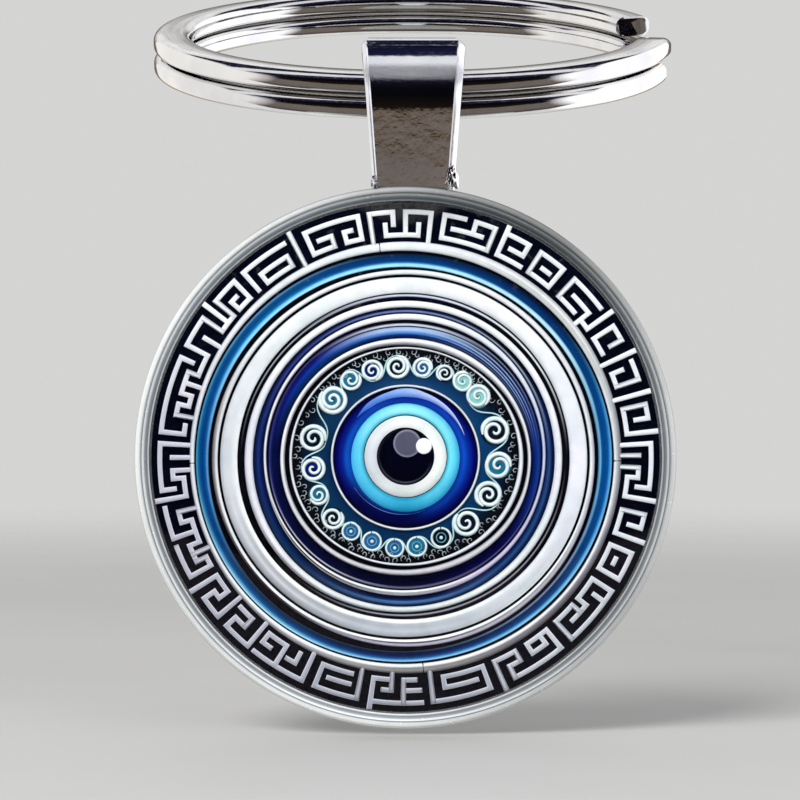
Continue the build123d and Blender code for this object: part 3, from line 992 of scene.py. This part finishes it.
def make_rings():
    """Every ring of the print, flat where its middle is as high as its edges."""
    for name, inner, outer, edge, middle, table in RINGS:
        paint = printed(name + "_ink", table)
        profile = moulding(edge, middle) if middle != edge else [(0, edge), (0.5, edge), (1, edge)]
        art(name, [drawn_ring(inner, outer, profile)], [paint])


make_rings()

# ---------------------------------------------------------------- print: the key border

# The lowest and highest radius of a stroke along each row, from the tray in to the silver border
ROWS = {
    "T": (12.62, 12.74),
    "O": (12.09, 12.34),
    "M": (11.47, 11.72),
    "I": (10.94, 11.19),
    "B": (10.62, 10.79),
}
# Half of a stroke's width, and the grid that its centre line keeps to, in degrees
STROKE_HALF, SNAP = 0.625, 0.25
# The height of a stroke's edges, and how far its top is drawn in from them and stands above them
KEY_EDGE_HEIGHT, KEY_INSET, KEY_RAISE = 0.12, 0.05, 0.05
# Each stroke as stops, a row and an angle clockwise from the top. A comma or a new line lifts the pen.
KEY_STROKES = """
B6.1 O6.1 O-.1 I-.1, I-5.1 I3.3 M3.3
O13.9 O9.3 I9.3 I21.4 O21.4 O16.7 M16.7, M11.8 M18.9
T24.3 I24.3 I31, O24.3 O30.3 M30.3 M26.8
O33.4 O40 I40 I33.4 O33.4, M36 M38
O52.6 O43.6 I43.6 I49.2, M46.2 M51.7 B51.7, T54.8 I54.8 I51.7
M61.4 O61.4 O57.8 I57.8 I62.2
T64.9 B64.9
O66.9 O71.5 I71.5 I68 M68
T74.8 B74.8
M80.8 O80.8 O77.6 I77.6 I83.9 T83.9
B86.8 O86.8 O97.3 M97.3, M89.6 B89.6, B92.4 M92.4 M95 I95 I100 T100
M106.7 O106.7 O103.4 I103.4 I109.7 T109.7
O112.9 O119.8 I119.8 I112.9 O112.9, M115.8 M117
M126 O126, O137.4 O123 I123 I129.2 M129.2 M134.2, M131.6 I131.6 I137.4 O137.4
O140.7 I140.7 I146.9 M146.9 M143.1 I143.1, O140.7 O153.4 M153.4 M150.5 I150.5 I156.5 T156.5
B173.5 O173.5 O159.7 I159.7 I170.2 M170.2 M162.2
O176.2 O188.3, T188.3 I188.3 I184.8, O180.5 I180.5 I177.5, M176.5 M179.2, B183.6 M183.6 M185.6
B191.5 O191.5 O201.7 I201.7 I193.9, M193.9 M199.2
B205 O205 O217.9, O212.2 I212.2 I217.8 M217.8 M215.5, I208.3 M208.3 M210.4
B220.1 O220.1 O226.7 M226.7 M223.6 I223.6 I227.7
B229.8 O229.8 O235 M235 M232.9 I232.9 I237.9 T237.9
O248.5 O241 I241 I243.4 M243.4 M247.8 I247.8 I253.7, M245.5 B245.5
O257.9 O250.8 I250.8, I253.7 M253.7 M256.4 B256.4
T260 I260 I264.7 M264.7 M266.8 B266.8, M262.2 O262.2 O273.2 B273.2, M270 B270
O294 O276.1 I276.1 I278.2, B280.6 M280.6 M283.3 I283.3 I286 M286 M291.4 I291.4 I297.3
M288.7 B288.7, O294 M294
I297.3 O297.3 O304.5 I304.5 I309.4, T307.2 I307.2, M300.7 B300.7
I309.4 O309.4 O315.7 I315.7 I311.7 M311.7 M313.6
I318.8 O318.8 O330.2, M321.7 M329.5 I329.5 I321.7 M321.7
T332.5 B332.5
M338.3 M341.5 I341.5 I335.8 O335.8 O348.8 I348.8 I344.7 M344.7 M346.5
B351.5 O351.5 O356.9 M356.9, M354.9 I354.9
"""
KEY_LOOKS = looks("""
    top: 0 #c4c4d2  .5 #ffffff  1 #ffffff
    right: 0 #8c8e9e  .5 #fbfcff  .85 #f4f6fb  1 #eef0f6
    bottom: 0 #77778a  .5 #f4f5fa  .85 #b4b5c2  1 #adaebb
    left: 0 #7f7c92  .5 #f2f0f9  .85 #d4d1de  1 #cfccda
    top_left: 0 #b4b4c4  .5 #fdfdff  1 #fafaff
""")


def key_bars():
    """The strokes as (low angle, high angle, low radius, high radius) bars."""
    bars = []
    for run in KEY_STROKES.replace("\n", ",").split(","):
        stops = [(stop[0], float(stop[1:])) for stop in run.split()]
        for (row_a, a), (row_b, b) in zip(stops, stops[1:]):
            low, high = (round(turn / SNAP) * SNAP for turn in sorted((a, b)))
            radii = ROWS[row_a] + ROWS[row_b]
            bars.append((low - STROKE_HALF, high + STROKE_HALF, min(radii), max(radii)))
    return bars


def make_key_border():
    """All the strokes as one raised relief: the cells of a polar grid that any bar covers."""
    bars = key_bars()
    turns = sorted({a % 360 for bar in bars for a in bar[:2]} | {float(a) for a in range(360)})
    radii = sorted({r for bar in bars for r in bar[2:]})
    mid_turns = np.array([(a + b) / 2 for a, b in zip(turns, turns[1:] + [turns[0] + 360])])
    mid_radii = np.array([(a + b) / 2 for a, b in zip(radii, radii[1:])])
    filled = np.zeros((len(mid_turns), len(mid_radii)), bool)
    for low, high, near, far in bars:
        inside = (mid_turns - low) % 360 < high - low
        filled |= inside[:, None] & ((mid_radii > near) & (mid_radii < far))[None, :]
    work = bmesh.new()
    corners = {}

    def corner(i, j):
        key = (i % len(turns), j)
        if key not in corners:
            corners[key] = work.verts.new((radians(turns[key[0]]), radii[j], 0))
        return corners[key]

    for i, j in zip(*np.nonzero(filled)):
        work.faces.new([corner(i, j), corner(i, j + 1), corner(i + 1, j + 1), corner(i + 1, j)])
    for vert in work.verts:
        turn, r = vert.co.xy
        vert.co = (r * sin(turn), r * cos(turn), 0)
    work.normal_update()
    up = 1 if sum(face.normal.z for face in work.faces) > 0 else -1
    bottom = bmesh.ops.duplicate(work, geom=work.verts[:] + work.edges[:] + work.faces[:])["geom"]
    bottom_verts = {item for item in bottom if isinstance(item, bmesh.types.BMVert)}
    bottom_faces = {item for item in bottom if isinstance(item, bmesh.types.BMFace)}
    top_faces = [face for face in work.faces if face not in bottom_faces]
    top_rim = [edge for edge in work.edges if edge.is_boundary and edge.verts[0] not in bottom_verts]
    for vert in bottom_verts:
        vert.co.z = -KEY_EDGE_HEIGHT * up

    def place(vert):
        return round(vert.co.x, 6), round(vert.co.y, 6)

    below = {place(vert): vert for vert in bottom_verts}
    for edge in top_rim:
        a, b = edge.verts
        work.faces.new([a, b, below[place(b)], below[place(a)]])
    inset = {"thickness": KEY_INSET, "depth": KEY_RAISE, "use_even_offset": True}
    bmesh.ops.inset_region(work, faces=top_faces, **inset)
    work.verts.index_update()
    points = np.array([vert.co[:] for vert in work.verts])
    heights = KEY_EDGE_HEIGHT + points[:, 2] * up
    faces = [[vert.index for vert in face.verts] for face in work.faces]
    work.free()
    turn, r = np.arctan2(points[:, 0], points[:, 1]), np.hypot(points[:, 0], points[:, 1])
    spots = polar(r, turn, np.where(heights < 0.01, SUNK, heights))
    crest = (heights - KEY_EDGE_HEIGHT) / KEY_RAISE
    values = {"across": np.clip(crest, 0, 1), **sides(turn)}
    paint = printed("key_stroke_ink", KEY_LOOKS, mottle=0.03)
    art("key_border", [(spots, faces, values)], [paint], sharp=50)


make_key_border()


SLITS = (90.9, 175.2, 268.5, 353.0)


def make_slits():
    """Four thin ink lines cut across the silver border, where its quarters meet."""
    cuts = []
    for angle in SLITS:
        near = float(edge_radius(BORDER_IN, radians(angle))) - 0.02
        path = [shown(angle, r) for r in np.linspace(near, 10.76, 8)]
        cuts.append(ribbon(path, np.full(8, 0.075), 0.215, values={"tone": 0.1}))
    paint = toned("slit_ink", stops_of("0 #05060c  .5 #0c0e18"), "#020308")
    art("border_slits", cuts, [paint], sharp=60)


make_slits()

# ---------------------------------------------------------------- print: the scrolls

# angle, middle radius, scroll radius, turns (0 for a plain bead), hand, kind of fill
SCROLLS = [
    (355, 4.54, 0.62, 1.7, 1, "dark"),
    (11, 4.54, 0.53, 1.7, -1, "sky"),
    (25, 4.61, 0.45, 1.5, 1, "dark"),
    (37, 4.75, 0.53, 1.4, -1, "mint"),
    (50, 4.72, 0.62, 1.5, -1, "mint"),
    (73.4, 4.63, 0.74, 1.4, 1, "dark"),
    (95, 4.65, 0.70, 1.4, -1, "teal"),
    (114.4, 4.52, 0.71, 1.6, 1, "dark"),
    (137, 4.42, 0.69, 1.4, -1, "dark"),
    (156, 4.36, 0.56, 0, 1, "dark"),
    (172.7, 4.46, 0.55, 0, 1, "teal"),
    (186.8, 4.53, 0.51, 0, -1, "sky"),
    (201.8, 4.49, 0.53, 0, 1, "sky"),
    (216.4, 4.57, 0.50, 0, -1, "sky"),
    (230, 4.70, 0.58, 1.5, 1, "dark"),
    (246.8, 4.71, 0.53, 1.4, -1, "teal"),
    (263.3, 4.63, 0.64, 1.5, 1, "cobalt"),
    (281.8, 4.67, 0.70, 1.5, -1, "dark"),
    (308.5, 4.63, 0.75, 1.8, -1, "teal"),
    (325, 4.72, 0.55, 1.3, 1, "teal"),
    (339, 4.61, 0.57, 1.6, -1, "cobalt"),
]
FILLS = {"dark": 0.05, "cobalt": 0.25, "teal": 0.45, "sky": 0.65, "mint": 0.85}
FILL_COLOURS = stops_of("0 #0a1422  .2 #0a1a6a  .4 #1f6f8c  .6 #2c659a  .8 #8fd6cf")
LINE_COLOURS = stops_of("0 #f4fbfb  .5 #cdeef0  .75 #7cc4dc")
FILIGREE_COLOURS = stops_of("0 #c9d2d8  .5 #9fb4c2")
CURLS_PER_GAP = 6
# Each spiral starts with this part of a full circle
CIRCLE_PART = 0.6


def spiral(centre, size, turns, hand, start):
    """A spiral that begins on a circle and then winds in, as a path of shown points."""
    travel = np.linspace(0, turns + CIRCLE_PART, int(40 * (turns + 1)))
    wound = np.clip((travel - CIRCLE_PART) / turns, 0, 1)
    r = size * (0.84 - 0.78 * wound)
    turn = start + hand * 2 * pi * travel
    return centre + np.stack([r * np.sin(turn), r * np.cos(turn)], axis=1)


def bead(centre, size):
    """A plain ring, a thin one inside it and a small dot in its middle."""
    turn = np.linspace(0, 2 * pi, 61)
    rings = []
    for share, width, tone in ((0.84, 0.24, 0.1), (0.42, 0.1, 0.9)):
        path = centre + size * share * np.stack([np.sin(turn), np.cos(turn)], axis=1)
        rings.append(ribbon(path[:-1], np.full(60, size * width), 0.13, values={"tone": tone}))
    dot = drawn_dot(*centre, size * 0.16, 0.1, 0.03, 24, {"tone": 0.1, "along": 0.5})
    return [*rings, dot]


def make_scrolls():
    """Scrolls and beads round the eye, the buttons under them and the links between neighbours."""
    lines, fills = [], []
    for k, (angle, r, size, turns, hand, fill) in enumerate(SCROLLS):
        centre = shown(angle, r)
        fills.append(drawn_dot(*centre, size * 0.96, 0.05, 0.03, values={"tone": FILLS[fill]}))
        if turns:
            path = spiral(centre, size, turns, hand, radians(angle) + pi / 2 * (k % 3))
            t = np.linspace(0, 1, len(path))
            widths = size * 0.34 * np.interp(t, [0, 0.05, 0.5, 0.9, 1], [0.4, 1, 0.9, 0.62, 0.4])
            lines.append(ribbon(path, widths, 0.15, values={"tone": 0.1}))
        else:
            lines += bead(centre, size)
        next_angle, next_r, next_size = SCROLLS[(k + 1) % len(SCROLLS)][:3]
        gap = (next_angle - angle) % 360
        start = shown(angle, r + hand * size * 0.92)
        end = shown(next_angle, next_r - hand * next_size * 0.9)
        pull_a = shown(angle + gap * 0.62, np.linalg.norm(start))
        pull_b = shown(angle + gap * 0.38, np.linalg.norm(end))
        t = np.linspace(0, 1, 24)[:, None]
        link = (1 - t) ** 3 * start + 3 * (1 - t) ** 2 * t * pull_a
        link = link + 3 * (1 - t) * t**2 * pull_b + t**3 * end
        widths = 0.085 * np.interp(t[:, 0], [0, 0.3, 0.7, 1], [0.5, 1, 1, 0.5])
        lines.append(ribbon(link, widths, 0.11, values={"tone": 0.6}))
    art("scroll_buttons", fills, [toned("scroll_button_ink", FILL_COLOURS, "#06121f")])
    art("scroll_lines", lines, [toned("scroll_line_ink", LINE_COLOURS, "#3f8a9f")], sharp=60)


def make_filigree():
    """Small curls in the dark spaces between the scrolls and the ring round them."""
    curls = []
    for k, scroll in enumerate(SCROLLS):
        angle, next_angle = scroll[0], SCROLLS[(k + 1) % len(SCROLLS)][0]
        gap = (next_angle - angle) % 360
        for j, share in enumerate(np.linspace(0.1, 0.9, CURLS_PER_GAP)):
            at = angle + gap * share
            edge = float(edge_radius(SCROLL_OUT, radians(at)))
            spot = shown(at, edge - 0.14 - 0.13 * ((j + k) % 3))
            bend = 1 if (k + j) % 2 else -1
            t = np.linspace(0, 1, 18)
            curl = radians(at) + bend * (0.6 + 5.2 * t)
            reach = (0.15 + 0.03 * (j % 2)) * (1 - 0.75 * t)
            path = spot + np.stack([reach * np.sin(curl), reach * np.cos(curl)], axis=1)
            widths = 0.05 * np.interp(t, [0, 0.3, 1], [0.4, 1, 0.5])
            curls.append(ribbon(path, widths, 0.09, values={"tone": 0.1}))
    art("scroll_filigree", curls, [toned("filigree_ink", FILIGREE_COLOURS, "#3a4148")], sharp=60)


make_scrolls()
make_filigree()

# ---------------------------------------------------------------- print: highlights of the eye


def make_highlights():
    """The painted glints: two crescents on the cobalt ring, and a grey and a white dot on the pupil."""
    t = np.linspace(0, 1, 60)
    crescent = np.array([shown(-50 + 119 * s, 3.13 + 0.04 * sin(pi * s)) for s in t])
    widths = 0.56 * np.interp(t, [0, 0.12, 0.45, 0.75, 1], [0.1, 0.75, 1, 0.62, 0.06])
    glint = np.array([shown(160 + 80 * s, 2.79 + 0.16 * s) for s in t])
    thin = 0.05 * np.interp(t, [0, 0.5, 1], [0.3, 1, 0.3])
    paint = Paint("crescent_ink")
    tones = stops_of("0 #2d5cc4  .35 #8fb6f6  .6 #c0d0fb  .85 #d3d8fa  1 #ffffff")
    tone = paint.ramp(paint.value("along"), tones)
    inner = paint.ramp(paint.value("across"), [(0, 0.0), (0.35, 0.2), (0.9, 1.0)])
    cloud = paint.noise(2.5, 3)
    colour = paint.mix(inner, tone, "#2f6ad0")
    colour = paint.mix(1.0, colour, paint.ramp(cloud, [(0.3, 0.92), (0.6, 1.0)]), "MULTIPLY")
    gloss = paint.ramp(cloud, [(0.3, 0.5), (0.7, 0.4)])
    crescent_ink = paint.finish(Base_Color=colour, Roughness=gloss)
    strips = [ribbon(crescent, widths, 0.13), ribbon(glint, thin, 0.13)]
    art("cobalt_crescents", strips, [crescent_ink], sharp=60)
    grey = printed("grey_glint_ink", looks("all: 0 #55536a  .82 #57566c  .93 #8b8a9c  1 #6d6c80"))
    white = printed("white_glint_ink", looks("all: 0 #ffffff  .85 #ffffff  1 #e6e6ee"), mottle=0.01)
    art("grey_glint", [drawn_dot(0.08, 0.70, 0.69, 0.175, 0.01, 96)], [grey])
    art("white_glint", [drawn_dot(0.91, 0.57, 0.395, 0.2, 0.02, 96)], [white])


make_highlights()

# ---------------------------------------------------------------- studio

FLOOR_GAP = 0.6
# What the metal mirrors, by pitch in degrees: 0 is level and ahead, 90 is overhead, 180 is behind
WALLS = """
    -180 #b7a27c  -150 #f2f4f2  -112 #ffffff  -104 #4c443e  -60 #7d746d  -34.8 #7d746d
    -33.9 #84715c  -33.2 #1d1613  -6 #0a090d  6 #0b0a10  20 #18172c  52 #26244a  55 #ffffff
    82 #ffffff  85 #1f2040  122 #101022  126 #ffffff  150 #ffffff  161 #6d665e  180 #8f8064
"""


def make_floor():
    """A pale floor just under the pendant, which fades into the background far away."""
    low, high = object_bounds()
    paint = Paint("floor_pale")
    cloud = paint.noise(0.05, 4)
    tone = paint.ramp(cloud, [(0.3, "#b6b5b3"), (0.7, "#bab9b7")])
    place = paint.node("ShaderNodeTexCoord", "Object")
    far = paint.node("ShaderNodeVectorMath", "Value", {0: place}, operation="LENGTH")
    fade = paint.clamped(far, 0.06, 0.34, 1.0, 0.0, interpolation_type="SMOOTHSTEP")
    pale = paint.finish(Base_Color=tone, Roughness=0.7, Alpha=fade)
    work = bmesh.new()
    bmesh.ops.create_grid(work, x_segments=40, y_segments=40, size=0.36)
    mesh = bpy.data.meshes.new("floor")
    work.to_mesh(mesh)
    work.free()
    mesh.materials.append(pale)
    floor = bpy.data.objects.new("floor", mesh)
    bpy.context.scene.collection.objects.link(floor)
    floor.location = ((low.x + high.x) / 2, (low.y + high.y) / 2, low.z - FLOOR_GAP * MM)
    floor.visible_glossy = False


def make_world():
    """A pale studio. The metal also mirrors dark walls, an overhead strip and two side panels."""
    world = bpy.data.worlds.new("studio")
    bpy.context.scene.world = world
    world.use_nodes = True
    tree = world.node_tree
    paint = Paint("", tree)
    direction = paint.node("ShaderNodeTexCoord", "Generated")
    split = tree.nodes.new("ShaderNodeSeparateXYZ")
    tree.links.new(direction, split.inputs[0])
    x, y, z = split.outputs
    ahead = paint.maths("MULTIPLY", y, -1.0)
    pitch = paint.maths("ARCTAN2", z, ahead)
    share = paint.maths("MULTIPLY_ADD", pitch, 1 / (2 * pi), 0.5)

    def clouds(scale, detail):
        ins = {"Vector": direction, "Scale": scale, "Detail": detail}
        return paint.node("ShaderNodeTexNoise", "Fac", ins)

    waver = paint.maths("SUBTRACT", clouds(7.0, 3.0), 0.5)
    share = paint.maths("ADD", share, paint.maths("MULTIPLY", waver, 0.016))
    drop = paint.clamped(paint.maths("ABSOLUTE", x), 0.08, 0.25, 0.0, 7 / 360)
    share = paint.maths("SUBTRACT", share, drop)
    walls = paint.ramp(share, [(pitch / 360 + 0.5, colour) for pitch, colour in stops_of(WALLS)])
    specks = paint.ramp(clouds(60.0, 5.0), [(0.34, 0.45), (0.5, 0.95), (0.62, 1.0)])
    walls = paint.mix(1.0, walls, specks, "MULTIPLY")
    glitter = paint.ramp(clouds(26.0, 4.0), [(0.62, 0.0), (0.68, 0.55)])
    high = paint.clamped(z, 0.3, 0.6, 0.0, 1.0)
    walls = paint.mix(1.0, walls, paint.mix(1.0, glitter, high, "MULTIPLY"), "ADD")
    behind = paint.maths("MAXIMUM", paint.maths("ADD", y, 0.1), 0.0)
    lift = paint.maths("MULTIPLY_ADD", behind, 1.4, 1.0)
    aside = paint.maths("MULTIPLY", x, lift)
    right = paint.clamped(aside, 0.87, 0.94, 0.0, 1.0)
    left = paint.clamped(aside, -0.87, -0.95, 0.0, 1.0)
    walls = paint.mix(right, walls, (1.3, 1.3, 1.33, 1))
    walls = paint.mix(left, walls, (1.0, 0.98, 0.95, 1))
    path = tree.nodes.new("ShaderNodeLightPath")
    lit = paint.mix(path.outputs["Is Diffuse Ray"], walls, (0.56, 0.57, 0.585, 1))
    shown_world = paint.mix(path.outputs["Is Camera Ray"], lit, (0.66, 0.66, 0.655, 1))
    background = tree.nodes["Background"]
    tree.links.new(shown_world, background.inputs["Color"])
    background.inputs["Strength"].default_value = 1.0


def add_light(name, place, size, power, colour=(1, 1, 1)):
    """A soft box that lights the object but isn't mirrored in it."""
    lamp = bpy.data.lights.new(name, "AREA")
    lamp.size, lamp.energy, lamp.color = size, power, colour
    light = bpy.data.objects.new(name, lamp)
    bpy.context.scene.collection.objects.link(light)
    light.location = Vector((eye + np.array(place)) * MM)
    light.rotation_euler = (-Vector(place)).to_track_quat("-Z", "Y").to_euler()
    light.visible_glossy = False
    light.visible_transmission = False


def make_camera():
    """A level camera that looks straight along +Y."""
    camera = bpy.data.objects.new("camera", bpy.data.cameras.new("camera"))
    bpy.context.scene.collection.objects.link(camera)
    camera.location = Vector((eye + CAMERA_FROM_EYE) * MM)
    camera.rotation_euler = (pi / 2, 0, 0)
    camera.data.sensor_width = 36
    camera.data.lens = CAMERA_LENS
    camera.data.clip_start = 0.005
    bpy.context.scene.camera = camera


make_floor()
make_world()
add_light("key_light", (-160, -240, 260), 0.16, 1.52)
add_light("fill_light", (200, -260, 60), 0.2, 0.6, (0.96, 0.98, 1))
make_camera()
bpy.context.scene.view_settings.view_transform = "Standard"
